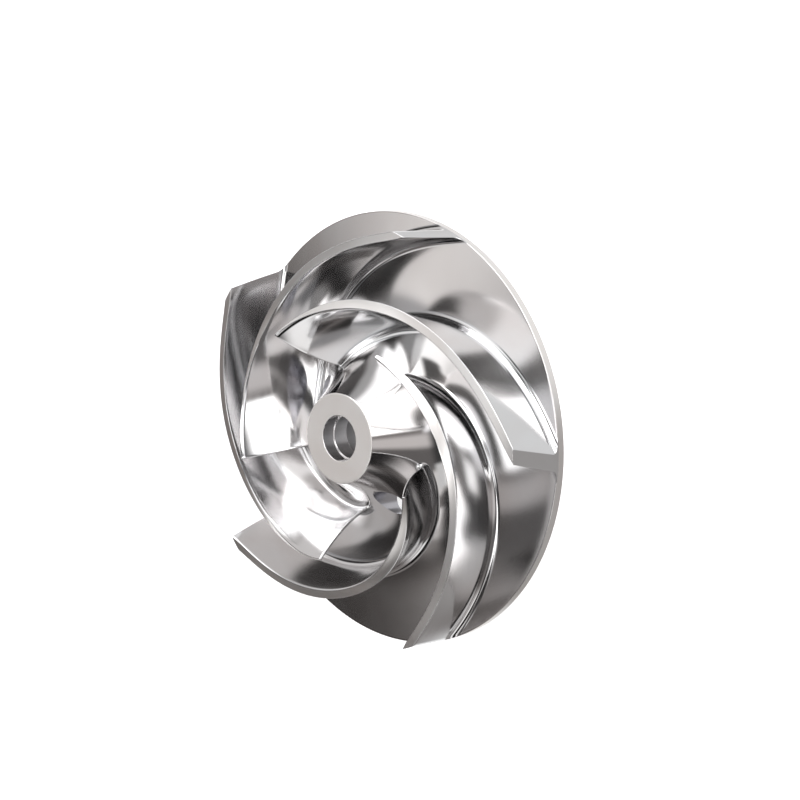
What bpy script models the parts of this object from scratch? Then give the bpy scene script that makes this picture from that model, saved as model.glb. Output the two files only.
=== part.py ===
# Pump impeller: a hub and back disc of one turned shape, with five swept vanes standing on its front.
# Metres, +Z up. The axis stands on the origin, the flat back face lies on the floor, the nose is up.
import math
import bpy

# Turned body: the front face flares up from the disc to the nose
OUTLET_RADIUS = 0.095
RIM_THICKNESS = 0.0039
NOSE_RADIUS = 0.0198
NOSE_HEIGHT = 0.0410
DISC_SLOPE = 0.074
FLARE_REACH = 0.060
FLARE_POWER = 3.75
EDGE_BREAK = 0.0004
FRONT_STEPS = 10
SEGMENTS = 96

# Stepped shaft bore: a short mouth, the seat, and a relief that runs out at the back
MOUTH_RADIUS = 0.0100
MOUTH_DEPTH = 0.0065
SEAT_RADIUS = 0.0095
SEAT_DEPTH = 0.0140
SEAT_CHAMFER = 0.0003
RELIEF_RADIUS = 0.0105
RELIEF_CHAMFER = 0.0010

# Hollow back: a ring round the boss that follows the front face at an even wall
BOSS_RADIUS = 0.0235
RECESS_RADIUS = 0.0740
RECESS_TOP = 0.0125
RECESS_BEVEL = 0.0020
DISC_WALL = 0.0048
RECESS_STEPS = 6

# Vanes: each runs from its leading edge on the hub to the rim
VANE_COUNT = 5
TIP_IN_RADIUS = 0.0524
ROOT_IN_RADIUS = 0.0330
LEAD_BOW = 0.0027
VANE_THICKNESS = 0.0038
NOSE_EDGE_THICKNESS = 0.0010
TAPER_LENGTH = 0.22
ROOT_FILLET = 0.0030
FOOT_SINK = 0.0015
STATIONS = 18
OVERRUN = 0.06

# Start, end, slope at the start, slope at the end and swell in the middle, on the way from inlet to rim
TIP_ANGLE = (5.6787, 3.5426, -4.67, -0.69, 0.117)
TIP_HEIGHT = (0.0512, 0.0317, -0.0752, -0.0051, 0.0041)
ROOT_ANGLE = (5.6787, 3.4750, -3.93, -1.147, 0.101)

# Holes drilled along the axis through the flare: two, that lie two vane pitches apart
HOLE_RADIUS = 0.0058
HOLE_CIRCLE = 0.0319
FIRST_HOLE_ANGLE = 4.872
HOLE_COUNT = 2
HOLE_SEGMENTS = 24


def hermite(u, start, end, slope_start, slope_end, swell):
    a = 2.0 * u ** 3 - 3.0 * u ** 2 + 1.0
    b = u ** 3 - 2.0 * u ** 2 + u
    c = -2.0 * u ** 3 + 3.0 * u ** 2
    d = u ** 3 - u ** 2
    return a * start + b * slope_start + c * end + d * slope_end + swell * 16.0 * (u * (1.0 - u)) ** 2


def front_height(radius):
    disc = RIM_THICKNESS + DISC_SLOPE * (OUTLET_RADIUS - radius)
    rise = NOSE_HEIGHT - RIM_THICKNESS - DISC_SLOPE * (OUTLET_RADIUS - NOSE_RADIUS)
    left = max(0.0, 1.0 - (radius - NOSE_RADIUS) / FLARE_REACH)
    return disc + rise * left ** FLARE_POWER


def tip_height(radius):
    return hermite((radius - TIP_IN_RADIUS) / (OUTLET_RADIUS - TIP_IN_RADIUS), *TIP_HEIGHT)


def tip_point(u):
    radius = TIP_IN_RADIUS + (OUTLET_RADIUS - TIP_IN_RADIUS) * u
    angle = hermite(u, *TIP_ANGLE)
    return (radius * math.cos(angle), radius * math.sin(angle), tip_height(radius))


def root_point(u):
    radius = ROOT_IN_RADIUS + (OUTLET_RADIUS - ROOT_IN_RADIUS) * u
    angle = hermite(u, *ROOT_ANGLE)
    return (radius * math.cos(angle), radius * math.sin(angle), front_height(radius))


def camber_point(u, t):
    # t runs from the root to the front edge; near the inlet the middle of the vane bows towards the axis
    x, y, z = (p + (q - p) * t for p, q in zip(root_point(u), tip_point(u)))
    bow = LEAD_BOW * 4.0 * t * (1.0 - t) * max(0.0, 1.0 - u) ** 3
    pull = 1.0 - bow / math.hypot(x, y)
    return (x * pull, y * pull, z)


def half_thickness(u):
    grow = min(1.0, max(0.0, u) / TAPER_LENGTH)
    full = VANE_THICKNESS - NOSE_EDGE_THICKNESS
    return 0.5 * (NOSE_EDGE_THICKNESS + full * math.sin(0.5 * math.pi * grow))


def vane_rows(height):
    # Rise up the vane and flare of the foot there: the root fillet is two flat steps, the flank four
    rows = [(-FOOT_SINK, 1.30 * ROOT_FILLET), (0.35 * ROOT_FILLET, 0.25 * ROOT_FILLET), (ROOT_FILLET, 0.0)]
    return rows + [(part * height, 0.0) for part in (0.30, 0.55, 0.78, 1.0)]


def vane_section(u, first):
    # One cut through the vane: up the concave side from the foot, then down the convex side
    step = 0.002
    height = math.dist(root_point(u), tip_point(u))
    inner = []
    outer = []
    for rise, flare in vane_rows(height):
        t = rise / height
        middle = camber_point(u, t)
        before = camber_point(u - step, t)
        after = camber_point(u + step, t)
        along = (after[0] - before[0], after[1] - before[1])
        length = math.hypot(*along)
        along = (along[0] / length, along[1] / length)
        across = (-along[1], along[0])
        if across[0] * middle[0] + across[1] * middle[1] < 0.0:
            across = (-across[0], -across[1])
        back = flare if first else 0.0
        for side, points in ((-1.0, inner), (1.0, outer)):
            reach = side * (half_thickness(u) + flare)
            x = middle[0] + across[0] * reach - along[0] * back
            y = middle[1] + across[1] * reach - along[1] * back
            radius = math.hypot(x, y)
            if rise == height:
                z = tip_height(radius)
            elif rise <= 0.0:
                z = front_height(radius) + rise
            else:
                z = middle[2]
            points.append((x, y, z))
    return inner + outer[::-1]


def make_mesh(name, verts, faces):
    mesh = bpy.data.meshes.new(name)
    mesh.from_pydata(verts, [], faces)
    mesh.validate()
    obj = bpy.data.objects.new(name, mesh)
    bpy.context.collection.objects.link(obj)
    return obj


def lathe(name, outline, segments):
    # The outline is a closed loop of radius and height, walked with the solid on its left
    count = len(outline)
    verts = []
    faces = []
    for i in range(segments):
        angle = 2.0 * math.pi * i / segments
        for radius, height in outline:
            verts.append((radius * math.cos(angle), radius * math.sin(angle), height))
    for i in range(segments):
        here = i * count
        there = ((i + 1) % segments) * count
        for j in range(count):
            k = (j + 1) % count
            faces.append((here + j, there + j, there + k, here + k))
    return make_mesh(name, verts, faces)


def cylinder(name, radius, bottom, top, x, y, segments, turn=0.0):
    verts = []
    for height in (bottom, top):
        for i in range(segments):
            angle = 2.0 * math.pi * (i + turn) / segments
            verts.append((x + radius * math.cos(angle), y + radius * math.sin(angle), height))
    faces = [tuple(range(segments - 1, -1, -1)), tuple(range(segments, 2 * segments))]
    for i in range(segments):
        j = (i + 1) % segments
        faces.append((i, j, segments + j, segments + i))
    return make_mesh(name, verts, faces)


def vanes():
    sections = []
    for i in range(STATIONS + 1):
        t = i / STATIONS
        u = (0.35 * t + 0.65 * t * t) * (1.0 + OVERRUN)
        sections.append(vane_section(u, i == 0))
    ring = len(sections[0])
    half = ring // 2
    verts = []
    faces = []
    for number in range(VANE_COUNT):
        turn = -2.0 * math.pi * (number + 1) / VANE_COUNT
        c = math.cos(turn)
        s = math.sin(turn)
        base = len(verts)
        for section in sections:
            for x, y, z in section:
                verts.append((c * x - s * y, s * x + c * y, z))
        for i in range(STATIONS):
            for j in range(ring):
                k = (j + 1) % ring
                a = base + i * ring
                b = a + ring
                faces.append((a + j, a + k, b + k, b + j))
        last = base + STATIONS * ring
        for j in range(half - 1):
            p = ring - 1 - j
            faces.append((base + j + 1, base + j, base + p, base + p - 1))
            faces.append((last + j, last + j + 1, last + p - 1, last + p))
    return make_mesh("vanes_tool", verts, faces)


def back_outline():
    outline = [
        (RELIEF_RADIUS, 0.0),
        (BOSS_RADIUS, 0.0),
        (BOSS_RADIUS, RECESS_TOP - RECESS_BEVEL),
        (BOSS_RADIUS + RECESS_BEVEL, RECESS_TOP),
    ]
    level = BOSS_RADIUS + RECESS_BEVEL
    while front_height(level) - DISC_WALL > RECESS_TOP:
        level += 0.0005
    for i in range(RECESS_STEPS):
        radius = level + (RECESS_RADIUS - level) * i / (RECESS_STEPS - 1)
        outline.append((radius, front_height(radius) - DISC_WALL))
    outline.append((RECESS_RADIUS + EDGE_BREAK, 0.0))
    return outline


def front_outline(outer_radius):
    # From beyond the rim up the flare to the broken edge of the nose face
    outline = [(outer_radius, 0.0), (outer_radius, front_height(outer_radius))]
    for i in range(FRONT_STEPS, 0, -1):
        part = (i / FRONT_STEPS) ** 1.5
        radius = NOSE_RADIUS + (OUTLET_RADIUS - NOSE_RADIUS) * part
        outline.append((radius, front_height(radius)))
    outline.append((NOSE_RADIUS + 0.5 * EDGE_BREAK, NOSE_HEIGHT - EDGE_BREAK))
    outline.append((NOSE_RADIUS - EDGE_BREAK, NOSE_HEIGHT))
    return outline


def bore_outline():
    mouth_floor = NOSE_HEIGHT - MOUTH_DEPTH
    seat_floor = NOSE_HEIGHT - SEAT_DEPTH
    return [
        (MOUTH_RADIUS + EDGE_BREAK, NOSE_HEIGHT),
        (MOUTH_RADIUS, NOSE_HEIGHT - EDGE_BREAK),
        (MOUTH_RADIUS, mouth_floor),
        (SEAT_RADIUS, mouth_floor - SEAT_CHAMFER),
        (SEAT_RADIUS, seat_floor),
        (RELIEF_RADIUS, seat_floor - RELIEF_CHAMFER),
    ]


def steel(name, colour, roughness):
    made = bpy.data.materials.new(name)
    made.use_nodes = True
    shader = made.node_tree.nodes["Principled BSDF"]
    shader.inputs["Base Color"].default_value = (*colour, 1.0)
    shader.inputs["Metallic"].default_value = 1.0
    shader.inputs["Roughness"].default_value = roughness
    return made


def boolean(target, tool, operation):
    step = target.modifiers.new(tool.name, "BOOLEAN")
    step.operation = operation
    step.solver = "EXACT"
    step.object = tool
    tool.hide_render = True
    tool.display_type = "WIRE"


for old in list(bpy.data.objects):
    bpy.data.objects.remove(old, do_unlink=True)

# Disc and vanes are made a little too wide, and one cylinder through the corners of the rim turns them flush
outline = back_outline() + front_outline(OUTLET_RADIUS + 0.004) + bore_outline()
impeller = lathe("impeller", outline, SEGMENTS)
impeller.data.materials.append(steel("polished_steel", (0.62, 0.60, 0.58), 0.25))
boolean(impeller, vanes(), "UNION")
across_corners = OUTLET_RADIUS / math.cos(math.pi / SEGMENTS)
boolean(impeller, cylinder("turning_tool", across_corners, -0.01, 0.08, 0.0, 0.0, SEGMENTS, 0.5), "INTERSECT")

for number in range(HOLE_COUNT):
    angle = FIRST_HOLE_ANGLE - number * 2.0 * (2.0 * math.pi / VANE_COUNT)
    x = HOLE_CIRCLE * math.cos(angle)
    y = HOLE_CIRCLE * math.sin(angle)
    drill = cylinder("drill_%d" % (number + 1), HOLE_RADIUS, 0.004, 0.06, x, y, HOLE_SEGMENTS)
    boolean(impeller, drill, "DIFFERENCE")
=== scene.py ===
import math

import bpy
import numpy as np
from mathutils import Matrix, Vector


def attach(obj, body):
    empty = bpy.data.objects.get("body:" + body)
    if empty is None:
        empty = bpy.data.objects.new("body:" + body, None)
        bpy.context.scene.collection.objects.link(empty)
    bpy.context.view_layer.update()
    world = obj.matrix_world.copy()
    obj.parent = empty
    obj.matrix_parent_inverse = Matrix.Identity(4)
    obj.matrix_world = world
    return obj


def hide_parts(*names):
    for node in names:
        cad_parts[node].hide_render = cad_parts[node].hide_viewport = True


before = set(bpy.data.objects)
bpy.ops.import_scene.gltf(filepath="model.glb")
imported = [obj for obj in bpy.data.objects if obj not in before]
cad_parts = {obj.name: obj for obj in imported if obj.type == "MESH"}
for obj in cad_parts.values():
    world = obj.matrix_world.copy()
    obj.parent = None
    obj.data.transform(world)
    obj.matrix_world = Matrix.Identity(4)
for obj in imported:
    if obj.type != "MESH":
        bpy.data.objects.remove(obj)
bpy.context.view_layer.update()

# Pump impeller: a turned hub and back disc, two drilled holes, and five swept vanes.
# Metres, +Z up along the axis, the flat back on the floor and the nose up.

# Turned body: the front face flares up from the disc to the nose
OUTLET_RADIUS = 0.095
RIM_UNDERSIZE = 0.00003
RIM_THICKNESS = 0.0039
NOSE_RADIUS = 0.0198
NOSE_HEIGHT = 0.0410
DISC_SLOPE = 0.074
FLARE_REACH = 0.060
FLARE_POWER = 3.75

# Stepped shaft bore: a short mouth, the seat, and a relief that runs out at the back
MOUTH_RADIUS = 0.0100
MOUTH_DEPTH = 0.0065
SEAT_RADIUS = 0.0095
SEAT_DEPTH = 0.0140
RELIEF_RADIUS = 0.0105

# Hollow back: a ring round the boss that follows the front face at an even wall
BOSS_RADIUS = 0.0235
BOSS_FOOT = 0.004
BOSS_FOOT_DIP = 0.0002
RECESS_RADIUS = 0.0740
RECESS_TOP = 0.0125
RECESS_DRAFT = 0.0004
DISC_WALL = 0.0048

# Broken edges and fillets of the turned body
BODY_BREAK = 0.0004
RIM_BREAK = 0.0003
BORE_BREAK = 0.0002
BOSS_FILLET = 0.0018
CORNER_STEPS = 5
CORNER_SUPPORT = 0.00012
SHORT_RUN = 0.001

# Steps round the axis, over the front face and over the recess
TURNS = 384
FRONT_STEPS = 84
RECESS_STEPS = 36

# Edges with a wider angle than this stay sharp, in degrees
BODY_SHARP_ANGLE = 38.0
VANE_SHARP_ANGLE = 50.0

# Holes drilled along the axis through the flare: two, that lie two vane pitches apart
HOLE_RADIUS = 0.0058
HOLE_CIRCLE = 0.0319
FIRST_HOLE_ANGLE = 4.872
HOLE_COUNT = 2
DRILL_ENDS = (0.004, 0.045)
DRILL_SIDES = 72

# Vanes: each runs from its leading edge on the hub to the rim
VANE_COUNT = 5
PITCH = 2.0 * math.pi / VANE_COUNT
TIP_IN_RADIUS = 0.0524
ROOT_IN_RADIUS = 0.0330
LEAD_BOW = 0.0027
VANE_THICKNESS = 0.0038
LEAD_NOSE = 0.00042
TAPER_LENGTH = 0.22
ROOT_FILLET = 0.0030
EDGE_BREAK = 0.00025
ROOT_RUN = 0.144
TIP_RUN = 0.250
CAMBER_STEP = 0.002

# Start, end, slope at the start, slope at the end and swell in the middle, on the way from inlet to rim
TIP_ANGLE = (5.6787, 3.5426, -4.67, -0.69, 0.117)
TIP_HEIGHT = (0.0512, 0.0317, -0.0752, -0.0051, 0.0041)
ROOT_ANGLE = (5.6787, 3.4750, -3.93, -1.147, 0.101)


def reach(point):
    # Distance from the axis
    return np.hypot(point[:, 0], point[:, 1])


def front_height(radius):
    disc = RIM_THICKNESS + DISC_SLOPE * (OUTLET_RADIUS - radius)
    rise = NOSE_HEIGHT - RIM_THICKNESS - DISC_SLOPE * (OUTLET_RADIUS - NOSE_RADIUS)
    left = np.clip(1.0 - (radius - NOSE_RADIUS) / FLARE_REACH, 0.0, None)
    return disc + rise * left ** FLARE_POWER


def hermite(u, start, end, slope_start, slope_end, swell):
    # The last term is the swell itself half way, and lies flat at both ends
    a = 2.0 * u ** 3 - 3.0 * u ** 2 + 1.0
    b = u ** 3 - 2.0 * u ** 2 + u
    c = -2.0 * u ** 3 + 3.0 * u ** 2
    d = u ** 3 - u ** 2
    return a * start + b * slope_start + c * end + d * slope_end + swell * 16.0 * (u * (1.0 - u)) ** 2


def tip_height(radius):
    u = (radius - TIP_IN_RADIUS) / (OUTLET_RADIUS - TIP_IN_RADIUS)
    return hermite(u, *TIP_HEIGHT)


def polar(radius, angle, height):
    return np.stack([radius * np.cos(angle), radius * np.sin(angle), height], -1)


def root_curve(u):
    radius = ROOT_IN_RADIUS + (OUTLET_RADIUS - ROOT_IN_RADIUS) * u
    return polar(radius, hermite(u, *ROOT_ANGLE), front_height(radius))


def tip_curve(u):
    radius = TIP_IN_RADIUS + (OUTLET_RADIUS - TIP_IN_RADIUS) * u
    return polar(radius, hermite(u, *TIP_ANGLE), tip_height(radius))


def camber(u, t):
    # t runs from the root to the front edge; near the inlet the middle bows towards the axis
    root, tip = root_curve(u), tip_curve(u)
    point = root + (tip - root) * t[:, None]
    bow = LEAD_BOW * 4.0 * t * (1.0 - t) * np.clip(1.0 - u, 0.0, None) ** 3
    point[:, :2] *= (1.0 - bow / reach(point))[:, None]
    return point


def wall(side, u, t):
    # Point on one flank of the vane, the level direction in which that flank faces, and half the thickness
    middle = camber(u, t)
    along = (camber(u + CAMBER_STEP, t) - camber(u - CAMBER_STEP, t))[:, :2]
    along /= np.linalg.norm(along, axis=1)[:, None]
    across = np.stack([-along[:, 1], along[:, 0]], -1)
    across *= np.sign((across * middle[:, :2]).sum(1))[:, None]
    run = u * (ROOT_RUN + (TIP_RUN - ROOT_RUN) * np.clip(t, 0.0, 1.0))
    back = np.clip(1.0 - run / LEAD_NOSE, 0.0, 1.0)
    round_nose = np.sqrt(1.0 - back ** 2)
    ramp = np.sin(0.5 * np.pi * np.clip(u / TAPER_LENGTH, 0.0, 1.0))
    half = LEAD_NOSE * round_nose + (0.5 * VANE_THICKNESS - LEAD_NOSE) * ramp
    facing = side * round_nose[:, None] * across - back[:, None] * along
    point = middle.copy()
    point[:, :2] += side * half[:, None] * across
    # The front edge was turned, so its height follows the radius on both flanks
    step_out = reach(point) - reach(middle)
    crown = TIP_IN_RADIUS + (OUTLET_RADIUS - TIP_IN_RADIUS) * u
    point[:, 2] += np.clip(t, 0.0, 1.0) * (tip_height(crown + step_out) - tip_height(crown))
    return point, facing, half


# The foot of a flank is found in rounds, and each takes most of its gap to the hub away
FOOT_ROUNDS = 12
FOOT_PULL = 0.8


def foot(side, u):
    # Where the flank would meet the hub without a fillet, and the height of the vane there
    t = np.zeros_like(u)
    height = np.linalg.norm(tip_curve(u) - root_curve(u), axis=1)
    for _ in range(FOOT_ROUNDS):
        point, _, _ = wall(side, u, t)
        gap = point[:, 2] - front_height(reach(point))
        t = t - gap / height * FOOT_PULL
    return t, height


# Rows up the vane: one sunk in the hub, one that lies on it, the fillet, the flank, the broken front edge
FILLET_ROWS = 9
FLANK_ROWS = 20
FIRST_FLANK_ROW = 2 + FILLET_ROWS
FIRST_BREAK_ROW = FIRST_FLANK_ROW + FLANK_ROWS

# How far in and how far down each row of the broken edge lies, in sizes of the break
BREAK_SHAPE = ((0.12, 0.55), (0.45, 0.12), (1.0, 0.0))
ROWS = FIRST_BREAK_ROW + len(BREAK_SHAPE)

# Where the vane is thin, the break takes at most this share of half its thickness
BREAK_SHARE = 0.6

# Fillet: the step that feels the hub's slope, the curve's pull to the corner, the last row lifted off the hub
SLOPE_PROBE = 0.0005
FILLET_HANDLE = 0.6
LAST_LIFTED_ROW = 3

# Sunk row: how far inwards and down it lies, how far short of the rim, and how far under the rim's edge
SUNK_IN = 0.0003
SUNK_DOWN = 0.0004
SUNK_SHORT = 0.0006
SUNK_END = 0.0005


def fillet_points(side, row, u):
    t_foot, height = foot(side, u)
    corner, facing, _ = wall(side, u, t_foot)
    start, _, _ = wall(side, u, t_foot + ROOT_FILLET / height)
    probe = corner[:, :2] + facing * SLOPE_PROBE
    rise = (front_height(reach(probe)) - corner[:, 2]) / SLOPE_PROBE
    level = ROOT_FILLET / np.sqrt(1.0 + rise ** 2)
    end = corner.copy()
    end[:, :2] += facing * level[:, None]
    end[:, 2] = front_height(reach(end))
    if row == 0:
        end[:, :2] -= facing * SUNK_IN
        end[:, 2] -= SUNK_DOWN
        return end
    # A curve that leaves the hub and joins the flank without a kink
    s = (row - 1) / (FILLET_ROWS + 1.0)
    near_hub = end + (corner - end) * FILLET_HANDLE
    near_wall = start + (corner - start) * FILLET_HANDLE
    point = ((1 - s) ** 3 * end + 3 * (1 - s) ** 2 * s * near_hub
             + 3 * (1 - s) * s ** 2 * near_wall + s ** 3 * start)
    if row <= LAST_LIFTED_ROW:
        point[:, 2] = np.maximum(point[:, 2], front_height(reach(point)))
    return point


def flank_points(side, number, u):
    t_foot, height = foot(side, u)
    low = t_foot + ROOT_FILLET / height
    high = 1.0 - EDGE_BREAK / height
    return wall(side, u, low + (high - low) * number / (FLANK_ROWS - 1.0))[0]


def break_points(side, number, u):
    point, facing, half = wall(side, u, np.ones_like(u))
    size = np.minimum(EDGE_BREAK, BREAK_SHARE * np.maximum(half, LEAD_NOSE))
    inset, drop = BREAK_SHAPE[number]
    point[:, :2] -= facing * (inset * size)[:, None]
    point[:, 2] = tip_height(reach(point)) - drop * size
    return point


def row_points(side, row, u):
    if row < FIRST_FLANK_ROW:
        return fillet_points(side, row, u)
    if row < FIRST_BREAK_ROW:
        return flank_points(side, row - FIRST_FLANK_ROW, u)
    return break_points(side, row - FIRST_BREAK_ROW, u)


# Steps round the nose of the leading edge, along the vane, and across the trailing end and the front edge
NOSE_STEPS = 6
LENGTH_STEPS = 110
CROSS_STEPS = (0.1, 0.3, 0.5, 0.7, 0.9)

# Places in a ring of points, which runs in along the inner flank, out along the outer one and back
LEAD = NOSE_STEPS + LENGTH_STEPS
OUTER_END = 2 * LEAD
END_CORNER = 2
RING_POINTS = OUTER_END + 1 + len(CROSS_STEPS) + 2 * END_CORNER

# The steps along the vane begin at this share of an even step and grow from there
EVEN_PART = 0.35

# Place of the first point of a broken trailing corner, in sizes of the break
SHOULDER = 0.3

# Stretch of the vane in which its meeting with the rim is looked for
END_SEARCH = np.linspace(0.80, 1.20, 241)


def reach_end(side, row, radii):
    # How far along the vane this row runs before it meets each of the cylinders
    return np.interp(radii, reach(row_points(side, row, END_SEARCH)), END_SEARCH)


def flank_lines(side):
    # Each row of one flank from the leading edge to the rim, with the angle and height where it meets the rim
    lines_up = []
    for row in range(ROWS):
        part = 0.0 if row < FIRST_FLANK_ROW else (row - 1) / (ROWS - 2.0)
        run = ROOT_RUN + (TIP_RUN - ROOT_RUN) * part
        nose = LEAD_NOSE * (1.0 - np.cos(0.5 * np.pi * np.arange(NOSE_STEPS) / NOSE_STEPS)) / run
        first = LEAD_NOSE / run
        short = OUTLET_RADIUS - (SUNK_SHORT if row == 0 else EDGE_BREAK)
        last, full = reach_end(side, row, (short, OUTLET_RADIUS))
        q = np.arange(LENGTH_STEPS + 1) / LENGTH_STEPS
        q = EVEN_PART * q + (1.0 - EVEN_PART) * q ** 2 * (1.5 - 0.5 * q)
        line = row_points(side, row, np.concatenate([nose, first + (last - first) * q]))
        edge = row_points(side, row, np.array([full]))[0]
        lines_up.append((line, math.atan2(edge[1], edge[0]), edge[2]))
    return lines_up


def trailing_end(angle_in, z_in, angle_out, z_out, pull):
    # Points on the rim from the inner flank to the outer one, with both trailing corners broken
    turn = math.copysign(EDGE_BREAK / OUTLET_RADIUS, angle_out - angle_in)
    rim = OUTLET_RADIUS - pull
    near = OUTLET_RADIUS - max(pull, SHOULDER * EDGE_BREAK)
    a, b = angle_in + turn, angle_out - turn
    points = [polar(near, angle_in + SHOULDER * turn, z_in), polar(rim, a, z_in)]
    points += [polar(rim, a + (b - a) * s, z_in + (z_out - z_in) * s) for s in CROSS_STEPS]
    points += [polar(rim, b, z_out), polar(near, angle_out - SHOULDER * turn, z_out)]
    return points


def vane_rings():
    # One closed ring of points for each row
    rings = []
    for row, (inner, outer) in enumerate(zip(flank_lines(-1.0), flank_lines(1.0))):
        line_in, angle_in, z_in = inner
        line_out, angle_out, z_out = outer
        pull = 0.0
        if row >= FIRST_BREAK_ROW:
            pull = EDGE_BREAK * BREAK_SHAPE[row - FIRST_BREAK_ROW][0]
        if row == 0:
            z_in = z_out = RIM_THICKNESS - SUNK_END
        end = trailing_end(angle_in, z_in, angle_out, z_out, pull)
        rings.append(list(line_in[::-1]) + list(line_out[1:]) + end[::-1])
    return np.array(rings)


def unrolled(rings):
    # For each point its length along the ring from the leading edge and its height up the vane
    length = np.cumsum(np.linalg.norm(np.diff(rings, axis=1, prepend=rings[:, :1]), axis=2), axis=1)
    length -= length[:, LEAD:LEAD + 1]
    height = np.cumsum(np.linalg.norm(np.diff(rings, axis=0, prepend=rings[:1]), axis=2), axis=0)
    return np.stack([length, height], -1).reshape(-1, 2)


def flank_faces():
    # From each ring up to the next one
    faces = []
    for row in range(ROWS - 1):
        low, high = row * RING_POINTS, (row + 1) * RING_POINTS
        for j in range(RING_POINTS):
            k = (j + 1) % RING_POINTS
            faces.append((low + j, low + k, high + k, high + j))
    return faces


def sunk_faces():
    # Across the lowest ring, from flank to flank
    faces = [(LEAD, LEAD - 1, LEAD + 1)]
    for i in range(1, LEAD):
        faces.append((LEAD - i, LEAD - i - 1, LEAD + i + 1, LEAD + i))
    faces.append((0, *range(RING_POINTS - 1, OUTER_END - 1, -1)))
    return faces


def front_faces(verts, chart):
    # Across the highest ring, from flank to flank; adds the points in the middle to verts and chart
    base = (ROWS - 1) * RING_POINTS
    pairs = [(base + LEAD - i, base + LEAD + i) for i in range(1, LEAD + 1)]
    pairs.append((base + RING_POINTS - 1, base + OUTER_END + 1))
    columns = []
    for a, b in pairs:
        across = verts[b] - verts[a]
        middle = []
        for s in CROSS_STEPS:
            point = verts[a] + across * s
            point[2] = tip_height(math.hypot(point[0], point[1]))
            middle.append(len(verts))
            verts.append(point)
            chart.append(chart[a] + np.array([0.0, s * np.linalg.norm(across)]))
        columns.append([a] + middle + [b])
    columns.append([base + i for i in range(RING_POINTS - END_CORNER, OUTER_END + END_CORNER - 1, -1)])
    steps = range(len(CROSS_STEPS) + 1)
    faces = [(base + LEAD, columns[0][j + 1], columns[0][j]) for j in steps]
    for left, right in zip(columns, columns[1:]):
        faces += [(left[j], left[j + 1], right[j + 1], right[j]) for j in steps]
    return faces


def vane_mesh():
    rings = vane_rings()
    verts = list(rings.reshape(-1, 3))
    chart = list(unrolled(rings))
    flanks = flank_faces()
    front = front_faces(verts, chart)
    bottom = sunk_faces()
    faces = flanks + front + bottom
    mesh = bpy.data.meshes.new("vane")
    mesh.from_pydata([tuple(point) for point in verts], [], faces)
    mark = mesh.attributes.new("turned", "BOOLEAN", "FACE")
    mark.data.foreach_set("value", [False] * len(flanks) + [True] * len(front) + [False] * len(bottom))
    layer = mesh.uv_layers.new(name="length_and_height")
    layer.uv.foreach_set("vector", np.array(chart)[[v for face in faces for v in face]].ravel())
    mesh.flip_normals()
    mesh.shade_smooth()
    mesh.validate()
    return mesh


def rounded(corners):
    # Corners are (radius, height, rounding, finish of the run that starts there); returns points and finishes
    points, finishes = [], []
    count = len(corners)
    for i, (x, y, size, finish) in enumerate(corners):
        here = np.array([x, y])
        if size == 0.0:
            points.append(here)
            finishes.append(finish)
            continue
        before = np.array(corners[i - 1][:2]) - here
        after = np.array(corners[(i + 1) % count][:2]) - here
        reach_before, reach_after = np.linalg.norm(before), np.linalg.norm(after)
        a = here + before / reach_before * size
        b = here + after / reach_after * size
        # A point just outside each end of the round keeps its shading off a long run
        if reach_before > SHORT_RUN:
            points.append(a + before / reach_before * CORNER_SUPPORT)
            finishes.append(corners[i - 1][3])
        for k in range(CORNER_STEPS + 1):
            s = k / CORNER_STEPS
            points.append((1 - s) ** 2 * a + 2 * (1 - s) * s * here + s ** 2 * b)
            finishes.append(finish if k >= CORNER_STEPS // 2 else corners[i - 1][3])
        if reach_after > SHORT_RUN:
            points.append(b + after / reach_after * CORNER_SUPPORT)
            finishes.append(finish)
    return np.array(points), finishes


def back_corners():
    # Out over the boss and the recess to the flat outer ring
    corners = [
        (RELIEF_RADIUS, 0.0, BODY_BREAK, "back"),
        (BOSS_RADIUS, 0.0, BODY_BREAK, "back"),
        (BOSS_RADIUS, RECESS_TOP - BOSS_FOOT_DIP, BOSS_FILLET, "back"),
    ]
    for radius in np.linspace(BOSS_RADIUS + BOSS_FOOT, RECESS_RADIUS, RECESS_STEPS):
        depth = min(RECESS_TOP, float(front_height(radius)) - DISC_WALL)
        corners.append((radius, depth, 0.0, "back"))
    corners.append((RECESS_RADIUS + RECESS_DRAFT, 0.0, 0.0, "back"))
    return corners


def front_corners():
    # Up the rim, then in over the disc and up the flare
    rim = OUTLET_RADIUS - RIM_UNDERSIZE
    corners = [
        (rim, 0.0, BODY_BREAK, "turned"),
        (rim, float(front_height(rim)), RIM_BREAK, "polished"),
    ]
    for s in np.linspace(0.0, 1.0, FRONT_STEPS)[1:-1]:
        radius = rim + (NOSE_RADIUS - rim) * s
        corners.append((radius, float(front_height(radius)), 0.0, "polished"))
    return corners


def nose_and_bore_corners():
    # In over the nose face, then down the stepped bore
    mouth_bottom = NOSE_HEIGHT - MOUTH_DEPTH
    seat_bottom = NOSE_HEIGHT - SEAT_DEPTH
    return [
        (NOSE_RADIUS, NOSE_HEIGHT, BODY_BREAK, "nose"),
        (MOUTH_RADIUS, NOSE_HEIGHT, BODY_BREAK, "bore"),
        (MOUTH_RADIUS, mouth_bottom, BORE_BREAK, "bore"),
        (SEAT_RADIUS, mouth_bottom, BORE_BREAK, "bore"),
        (SEAT_RADIUS, seat_bottom, BORE_BREAK, "bore"),
        (RELIEF_RADIUS, seat_bottom, BORE_BREAK, "relief"),
    ]


# Finishes of the turned body, in the order of its material slots; the relief and hole slots also carry
# painted shade
BODY_FINISHES = ("polished", "turned", "bore", "back", "nose", "relief", "hole")


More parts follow.
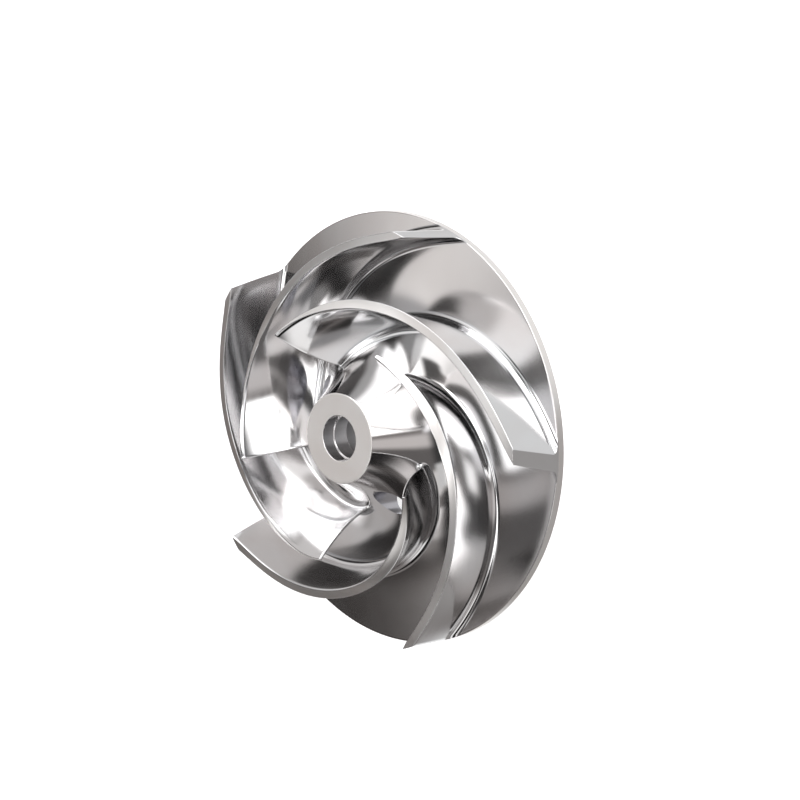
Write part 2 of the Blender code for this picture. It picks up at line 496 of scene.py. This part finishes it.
def body_mesh():
    outline, finishes = rounded(back_corners() + front_corners() + nose_and_bore_corners())
    count = len(outline)
    angles = 2.0 * math.pi * np.arange(TURNS) / TURNS
    verts = [(r * math.cos(a), r * math.sin(a), z) for a in angles for r, z in outline]
    faces, slots = [], []
    for i in range(TURNS):
        here, there = i * count, ((i + 1) % TURNS) * count
        for j in range(count):
            k = (j + 1) % count
            faces.append((here + j, there + j, there + k, here + k))
            slots.append(BODY_FINISHES.index(finishes[j]))
    mesh = bpy.data.meshes.new("body")
    mesh.from_pydata(verts, [], faces)
    mesh.polygons.foreach_set("material_index", slots)
    mesh.shade_smooth()
    mesh.validate()
    return mesh


def add_object(name, mesh):
    made = bpy.data.objects.new(name, mesh)
    bpy.context.scene.collection.objects.link(made)
    return made


def plain_copy(obj, name):
    # The evaluated shape as a plain mesh on a fresh object
    bpy.context.view_layer.update()
    shape = obj.evaluated_get(bpy.context.evaluated_depsgraph_get())
    mesh = bpy.data.meshes.new_from_object(shape)
    old = obj.data
    bpy.data.objects.remove(obj)
    if old.users == 0:
        bpy.data.meshes.remove(old)
    mesh.name = name
    return add_object(name, mesh)


def drill(number):
    angle = FIRST_HOLE_ANGLE - 2.0 * PITCH * number
    x, y = HOLE_CIRCLE * math.cos(angle), HOLE_CIRCLE * math.sin(angle)
    ring = [2.0 * math.pi * i / DRILL_SIDES for i in range(DRILL_SIDES)]
    verts = [(x + HOLE_RADIUS * math.cos(a), y + HOLE_RADIUS * math.sin(a), z)
             for z in DRILL_ENDS for a in ring]
    faces = [tuple(range(DRILL_SIDES - 1, -1, -1)), tuple(range(DRILL_SIDES, 2 * DRILL_SIDES))]
    for i in range(DRILL_SIDES):
        k = (i + 1) % DRILL_SIDES
        faces.append((i, k, DRILL_SIDES + k, DRILL_SIDES + i))
    mesh = bpy.data.meshes.new("drill")
    mesh.from_pydata(verts, [], faces)
    mesh.polygons.foreach_set("material_index", [BODY_FINISHES.index("hole")] * len(faces))
    mesh.shade_smooth()
    return add_object("drill_%d" % (number + 1), mesh)


# Building blocks of the node trees
def add_node(tree, kind, **settings):
    made = tree.nodes.new(kind)
    for name, value in settings.items():
        setattr(made, name, value)
    return made


def feed(tree, socket, value):
    # A socket takes another node's output or a plain value
    if isinstance(value, bpy.types.NodeSocket):
        tree.links.new(value, socket)
    else:
        socket.default_value = value


def arithmetic(tree, operation, *values):
    made = add_node(tree, "ShaderNodeMath", operation=operation)
    for socket, value in zip(made.inputs, values):
        feed(tree, socket, value)
    return made.outputs[0]


def smooth_ramp(tree, value, low, high, at_low, at_high):
    made = add_node(tree, "ShaderNodeMapRange", interpolation_type="SMOOTHSTEP")
    for socket, number in zip(made.inputs, (value, low, high, at_low, at_high)):
        feed(tree, socket, number)
    return made.outputs["Result"]


def blend(tree, part, first, second):
    # Inputs 6 and 7 and output 2 are the colour sockets
    made = add_node(tree, "ShaderNodeMix", data_type="RGBA")
    feed(tree, made.inputs["Factor"], part)
    feed(tree, made.inputs[6], first)
    feed(tree, made.inputs[7], second)
    return made.outputs[2]


# Clouds and marks of the tools, each a value about one half, with their sizes
ROUGHNESS_CLOUDS = 0.016
TONE_CLOUDS = 0.045
TONE_RANGE = (0.35, 0.65)
MARK_SPACING = 0.0004
STREAKS_PER_METRE = (22.0, 420.0, 1.0)


def clouds(tree, size):
    made = add_node(tree, "ShaderNodeTexNoise", noise_dimensions="3D")
    feed(tree, made.inputs["Vector"], add_node(tree, "ShaderNodeTexCoord").outputs["Object"])
    feed(tree, made.inputs["Scale"], 1.0 / size)
    feed(tree, made.inputs["Detail"], 3.0)
    feed(tree, made.inputs["Distortion"], 0.6)
    return made.outputs["Fac"]


def lines(tree, along):
    made = add_node(tree, "ShaderNodeTexNoise", noise_dimensions="1D")
    feed(tree, made.inputs["W"], along)
    feed(tree, made.inputs["Scale"], 1.0 / MARK_SPACING)
    feed(tree, made.inputs["Detail"], 2.0)
    return made.outputs["Fac"]


def place_parts(tree):
    parts = add_node(tree, "ShaderNodeSeparateXYZ")
    feed(tree, parts.inputs[0], add_node(tree, "ShaderNodeTexCoord").outputs["Object"])
    return parts.outputs


def axis_radius(tree):
    x, y, _ = place_parts(tree)
    total = arithmetic(tree, "MULTIPLY_ADD", x, x, arithmetic(tree, "MULTIPLY", y, y))
    return arithmetic(tree, "SQRT", total)


def turning_marks(tree):
    return lines(tree, axis_radius(tree))


def boring_marks(tree):
    return lines(tree, place_parts(tree)[2])


def polishing_streaks(tree):
    # Long faint streaks that follow the vane from the inlet to the rim
    chart = add_node(tree, "ShaderNodeUVMap", uv_map="length_and_height")
    stretch = add_node(tree, "ShaderNodeMapping")
    feed(tree, stretch.inputs["Vector"], chart.outputs["UV"])
    stretch.inputs["Scale"].default_value = STREAKS_PER_METRE
    made = add_node(tree, "ShaderNodeTexNoise", noise_dimensions="2D")
    feed(tree, made.inputs["Vector"], stretch.outputs["Vector"])
    feed(tree, made.inputs["Scale"], 1.0)
    feed(tree, made.inputs["Detail"], 3.0)
    return made.outputs["Fac"]


# Bare steel, the shade of its warmer patches, and the radii between which the disc turns satin
STEEL_TINT = (0.650, 0.652, 0.660)
WARM_SHADE = (0.95, 0.93, 0.92)
SATIN_RADII = (0.036, 0.056)


def steel(name, rough, cloud_part, marks, mark_part, mark_depth=0.0, tint=STEEL_TINT, satin=0.0):
    # The roughness wanders by cloud_part in soft clouds and by mark_part with the marks of the tool
    made = bpy.data.materials.new(name)
    made.use_nodes = True
    tree = made.node_tree
    shader = tree.nodes["Principled BSDF"]
    shader.inputs["Metallic"].default_value = 1.0
    cloud = clouds(tree, ROUGHNESS_CLOUDS)
    mark = marks(tree)
    around = arithmetic(tree, "MULTIPLY_ADD", cloud, cloud_part, rough - 0.5 * cloud_part)
    around = arithmetic(tree, "MULTIPLY_ADD", mark, mark_part, around)
    if satin:
        more = smooth_ramp(tree, axis_radius(tree), *SATIN_RADII, 0.0, satin)
        around = arithmetic(tree, "ADD", around, more)
    feed(tree, shader.inputs["Roughness"], around)
    warm = tuple(part * shade for part, shade in zip(tint, WARM_SHADE))
    tone = smooth_ramp(tree, clouds(tree, TONE_CLOUDS), *TONE_RANGE, 0.0, 1.0)
    feed(tree, shader.inputs["Base Color"], blend(tree, tone, (*warm, 1.0), (*tint, 1.0)))
    if mark_depth:
        bump = add_node(tree, "ShaderNodeBump")
        bump.inputs["Distance"].default_value = mark_depth
        bump.inputs["Strength"].default_value = 1.0
        feed(tree, bump.inputs["Height"], mark)
        feed(tree, shader.inputs["Normal"], bump.outputs["Normal"])
    return made


flank_steel = steel("polished_vane_flank", rough=0.075, cloud_part=0.06,
                    marks=polishing_streaks, mark_part=0.07)
front_steel = steel("polished_flare_and_disc", rough=0.07, cloud_part=0.05,
                    marks=turning_marks, mark_part=0.02, tint=(0.66, 0.65, 0.648), satin=0.06)
turned_steel = steel("turned_steel", rough=0.30, cloud_part=0.05,
                     marks=turning_marks, mark_part=0.08, mark_depth=0.000002, tint=(0.78, 0.765, 0.755))
nose_steel = steel("faced_nose", rough=0.50, cloud_part=0.06,
                   marks=turning_marks, mark_part=0.08, mark_depth=0.000002, tint=(0.96, 0.94, 0.922))
bore_steel = steel("bored_steel", rough=0.12, cloud_part=0.04,
                   marks=boring_marks, mark_part=0.04, tint=(0.78, 0.78, 0.79))
# Relief wall: its roughness is the real rough boring, and its dark tint is painted shade for the dim depth of
# the bore
relief_steel_painted_dark = steel("rough_bored_relief_painted_shade", rough=0.40, cloud_part=0.05,
                     marks=boring_marks, mark_part=0.08, tint=(0.42, 0.42, 0.43))
# Drilled hole walls: their roughness is the real drilling, and their dark bluish tint is painted shade inside
# the holes
hole_steel_painted_dark = steel("drilled_steel_painted_shade", rough=0.20, cloud_part=0.05,
                   marks=boring_marks, mark_part=0.06, tint=(0.45, 0.45, 0.48))
back_steel = steel("machined_back", rough=0.32, cloud_part=0.05,
                   marks=turning_marks, mark_part=0.10, mark_depth=0.000004)


def give_body_steels(mesh):
    # In the order of BODY_FINISHES
    for finish in (front_steel, turned_steel, bore_steel, back_steel, nose_steel, relief_steel_painted_dark, hole_steel_painted_dark):
        mesh.materials.append(finish)


def hub_and_disc():
    made = add_object("hub_and_disc", body_mesh())
    give_body_steels(made.data)
    drills = [drill(number) for number in range(HOLE_COUNT)]
    for tool in drills:
        give_body_steels(tool.data)
        tool.hide_render = True
        cut = made.modifiers.new(tool.name, "BOOLEAN")
        cut.operation = "DIFFERENCE"
        cut.solver = "EXACT"
        cut.object = tool
    made = plain_copy(made, "hub_and_disc")
    for tool in drills:
        bpy.data.objects.remove(tool)
    made.data.shade_smooth()
    made.data.set_sharp_from_angle(angle=math.radians(BODY_SHARP_ANGLE))
    return made


def vane_ring_tree():
    tree = bpy.data.node_groups.new("vane_ring", "GeometryNodeTree")
    face = tree.interface
    face.new_socket(name="Vane", in_out="INPUT", socket_type="NodeSocketGeometry")
    count = face.new_socket(name="Vane Count", in_out="INPUT", socket_type="NodeSocketInt")
    pitch = face.new_socket(name="Pitch Angle", in_out="INPUT", socket_type="NodeSocketFloat")
    flank = face.new_socket(name="Flank Finish", in_out="INPUT", socket_type="NodeSocketMaterial")
    edge = face.new_socket(name="Front Edge Finish", in_out="INPUT", socket_type="NodeSocketMaterial")
    face.new_socket(name="Vanes", in_out="OUTPUT", socket_type="NodeSocketGeometry")
    start = add_node(tree, "NodeGroupInput")
    line = add_node(tree, "GeometryNodeMeshLine")
    line.inputs["Offset"].default_value = (0.0, 0.0, 0.0)
    feed(tree, line.inputs["Count"], start.outputs["Vane Count"])
    number = arithmetic(tree, "ADD", add_node(tree, "GeometryNodeInputIndex").outputs[0], 1.0)
    turn = add_node(tree, "ShaderNodeCombineXYZ")
    feed(tree, turn.inputs["Z"], arithmetic(tree, "MULTIPLY", number, start.outputs["Pitch Angle"]))
    copies = add_node(tree, "GeometryNodeInstanceOnPoints")
    feed(tree, copies.inputs["Points"], line.outputs["Mesh"])
    feed(tree, copies.inputs["Instance"], start.outputs["Vane"])
    feed(tree, copies.inputs["Rotation"], turn.outputs[0])
    real = add_node(tree, "GeometryNodeRealizeInstances")
    feed(tree, real.inputs["Geometry"], copies.outputs["Instances"])
    cover = add_node(tree, "GeometryNodeSetMaterial")
    feed(tree, cover.inputs["Geometry"], real.outputs["Geometry"])
    feed(tree, cover.inputs["Material"], start.outputs["Flank Finish"])
    mark = add_node(tree, "GeometryNodeInputNamedAttribute", data_type="BOOLEAN")
    mark.inputs["Name"].default_value = "turned"
    band = add_node(tree, "GeometryNodeSetMaterial")
    feed(tree, band.inputs["Geometry"], cover.outputs["Geometry"])
    feed(tree, band.inputs["Selection"], mark.outputs["Attribute"])
    feed(tree, band.inputs["Material"], start.outputs["Front Edge Finish"])
    feed(tree, add_node(tree, "NodeGroupOutput").inputs["Vanes"], band.outputs["Geometry"])
    return tree, {"count": count.identifier, "pitch": pitch.identifier,
                  "flank": flank.identifier, "edge": edge.identifier}


def ring_of_vanes():
    made = add_object("vanes", vane_mesh())
    tree, sockets = vane_ring_tree()
    ring = made.modifiers.new("vane_ring", "NODES")
    ring.node_group = tree
    ring[sockets["count"]] = VANE_COUNT
    ring[sockets["pitch"]] = -PITCH
    ring[sockets["flank"]] = flank_steel
    ring[sockets["edge"]] = turned_steel
    made = plain_copy(made, "vanes")
    made.data.set_sharp_from_angle(angle=math.radians(VANE_SHARP_ANGLE))
    return made


for piece in (hub_and_disc(), ring_of_vanes()):
    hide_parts("impeller")
    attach(piece, "root")

# Camera: how far it stands, its angle from the axis, its roll, and how far it aims beside the origin
CAMERA_DISTANCE = 2.85
POLAR_ANGLE = 0.7928
ROLL = -1.7536
FRAME_PIXELS = 800.0
FOCAL_PIXELS = 6515.55
AIM_RIGHT_PIXELS = -5.5408
AIM_UP_PIXELS = 26.1869


def make_camera():
    place = Vector((math.sin(POLAR_ANGLE), 0.0, math.cos(POLAR_ANGLE))) * CAMERA_DISTANCE
    forward = -place.normalized()
    level = forward.cross(Vector((0.0, 0.0, 1.0))).normalized()
    steep = level.cross(forward)
    right = math.cos(ROLL) * level + math.sin(ROLL) * steep
    up = math.cos(ROLL) * steep - math.sin(ROLL) * level
    aim_right = math.tan(AIM_RIGHT_PIXELS / FOCAL_PIXELS)
    aim_up = math.tan(AIM_UP_PIXELS / FOCAL_PIXELS)
    forward = (forward + aim_right * right + aim_up * up).normalized()
    right = forward.cross(up).normalized()
    up = right.cross(forward)
    lens = bpy.data.cameras.new("camera")
    lens.sensor_width = 36.0
    lens.lens = FOCAL_PIXELS / FRAME_PIXELS * lens.sensor_width
    lens.clip_start = 0.1
    lens.clip_end = 50.0
    made = add_object("camera", lens)
    made.matrix_world = Matrix.Translation(place) @ Matrix((right, up, -forward)).transposed().to_4x4()
    bpy.context.scene.camera = made


FLOOR_REACH = 6.0
FLOOR_TONE = (0.9, 0.9, 0.9, 1.0)
FLOOR_GLOW = 0.6
WHITE = (1.0, 1.0, 1.0, 1.0)


def make_floor():
    ends = ((-1, -1), (1, -1), (1, 1), (-1, 1))
    mesh = bpy.data.meshes.new("floor")
    mesh.from_pydata([(FLOOR_REACH * x, FLOOR_REACH * y, 0.0) for x, y in ends], [], [(0, 1, 2, 3)])
    made = add_object("floor", mesh)
    pale = bpy.data.materials.new("pale_floor")
    pale.use_nodes = True
    shader = pale.node_tree.nodes["Principled BSDF"]
    shader.inputs["Base Color"].default_value = FLOOR_TONE
    shader.inputs["Roughness"].default_value = 1.0
    shader.inputs["Emission Color"].default_value = WHITE
    shader.inputs["Emission Strength"].default_value = FLOOR_GLOW
    made.data.materials.append(pale)
    # The steel mirrors the lower half of the studio and not the floor
    made.visible_glossy = False


# Studio: dim walls all round, then one soft box after another, each laid over those before it
WALLS = (0.27, 0.252, 0.245)

# Azimuth, elevation, half width, half height and soft border in degrees, then light and colour
SOFT_BOXES = {
    "floor_right": (-60, -48, 50, 32, 15, 0.45, (1.0, 0.97, 0.95)),
    "floor_back": (60, -45, 65, 35, 15, 0.95, (1.0, 1.0, 1.0)),
    "floor_left": (177, -42, 53, 26, 8, 1.3, (1.0, 1.0, 1.0)),
    "left_low": (135, 8, 25, 20, 10, 0.85, (1.0, 0.98, 0.97)),
    "low_back": (62, 3, 40, 27, 12, 4.5, (1.0, 1.0, 1.0)),
    "low_front": (15, 9, 23, 29, 3, 3.2, (1.0, 1.0, 1.0)),
    "front_mid": (17, 48, 32, 8, 4, 1.6, (1.0, 1.0, 1.02)),
    "back_box": (80, 38, 27, 20, 6, 1.9, (1.0, 1.0, 1.0)),
    "dark_shelf": (27, 36, 35, 5, 3, 0.12, (1.0, 0.97, 0.96)),
    "left_mid": (116, 34, 20, 11, 5, 1.05, (1.0, 0.98, 0.97)),
    "high_front": (34, 59, 24, 10, 3, 4.5, (1.0, 1.0, 1.0)),
    "dark_gap": (57, 43, 8, 12, 3, 0.2, (1.0, 0.97, 0.96)),
    "back_high": (110, 60, 30, 12, 5, 1.6, (1.0, 1.0, 1.0)),
    "high_patch": (76, 58, 16, 8, 3, 0.12, (1.0, 0.98, 0.97)),
    "left_wall": (160, 57, 30, 14, 7, 1.15, (1.0, 0.98, 0.97)),
    "brown_wall": (172, 16, 16, 9, 5, 0.2, (1.0, 0.86, 0.82)),
    "grey_door": (146, 50, 12, 7, 4, 0.5, (1.0, 1.0, 1.02)),
    "dark_door": (143, 34, 19, 9, 4, 0.05, (1.0, 0.95, 0.94)),
    "right_near": (-28, 25, 12, 28, 5, 0.78, (1.0, 0.96, 0.95)),
    "right_far": (-52, 25, 16, 28, 6, 0.17, (1.0, 0.95, 0.94)),
    "side_wall": (-86, 44, 16, 5, 4, 0.9, (1.0, 0.97, 0.96)),
    "side_strip": (-98, 9, 20, 9, 5, 1.3, (1.0, 0.99, 0.98)),
    "black_side": (-105, 30, 36, 9, 4, 0.0, (1.0, 1.0, 1.0)),
    "dark_top": (-38, 57, 27, 13, 5, 0.06, (1.0, 0.98, 1.0)),
    "top_right": (-17, 64, 13, 5, 3, 2.4, (1.0, 1.0, 1.0)),
    "side_shelf": (-77, 50, 16, 6, 3, 0.8, (1.0, 1.0, 1.0)),
    "side_high": (-83, 62, 12, 8, 3, 3.2, (1.0, 1.0, 1.0)),
    "side_top": (-82, 77, 31, 12, 5, 3.4, (1.0, 1.0, 1.0)),
    "top_left": (-155, 74, 35, 10, 5, 0.5, (1.0, 1.0, 1.0)),
    "upper_left": (-175, 62, 16, 9, 5, 0.3, (1.0, 1.0, 1.03)),
    "dark_wall": (-172, 34, 16, 10, 5, 0.05, (1.0, 0.92, 0.9)),
    "corner_strip": (-130, 46, 14, 4, 2, 1.6, (1.0, 0.97, 0.96)),
    "black_flag": (-130, 55, 32, 8, 4, 0.03, (1.0, 0.97, 0.97)),
    "overhead": (140, 80, 50, 10, 5, 1.2, (1.0, 1.0, 1.0)),
}


def soft_span(tree, angle, middle, half, border):
    # 1 near the middle angle, 0 far from it, the shorter way round
    away = arithmetic(tree, "SUBTRACT", angle, math.radians(middle))
    away = arithmetic(tree, "WRAP", away, math.pi, -math.pi)
    away = arithmetic(tree, "ABSOLUTE", away)
    return smooth_ramp(tree, away, math.radians(half - border), math.radians(half + border), 1.0, 0.0)


def make_studio():
    world = bpy.data.worlds.new("studio")
    bpy.context.scene.world = world
    world.use_nodes = True
    tree = world.node_tree
    look = add_node(tree, "ShaderNodeSeparateXYZ")
    feed(tree, look.inputs[0], add_node(tree, "ShaderNodeTexCoord").outputs["Generated"])
    x, y, z = look.outputs
    azimuth = arithmetic(tree, "ARCTAN2", y, x)
    elevation = arithmetic(tree, "ARCSINE", z)
    light = (*WALLS, 1.0)
    for middle, height, half_width, half_height, border, strength, colour in SOFT_BOXES.values():
        across = soft_span(tree, azimuth, middle, half_width, border)
        upward = soft_span(tree, elevation, height, half_height, border)
        part = arithmetic(tree, "MULTIPLY", across, upward)
        light = blend(tree, part, light, (*(strength * tone for tone in colour), 1.0))
    # The camera itself sees plain white
    seen = add_node(tree, "ShaderNodeLightPath").outputs["Is Camera Ray"]
    feed(tree, tree.nodes["Background"].inputs["Color"], blend(tree, seen, light, WHITE))


make_camera()
make_floor()
make_studio()
bpy.context.scene.view_settings.view_transform = "Standard"
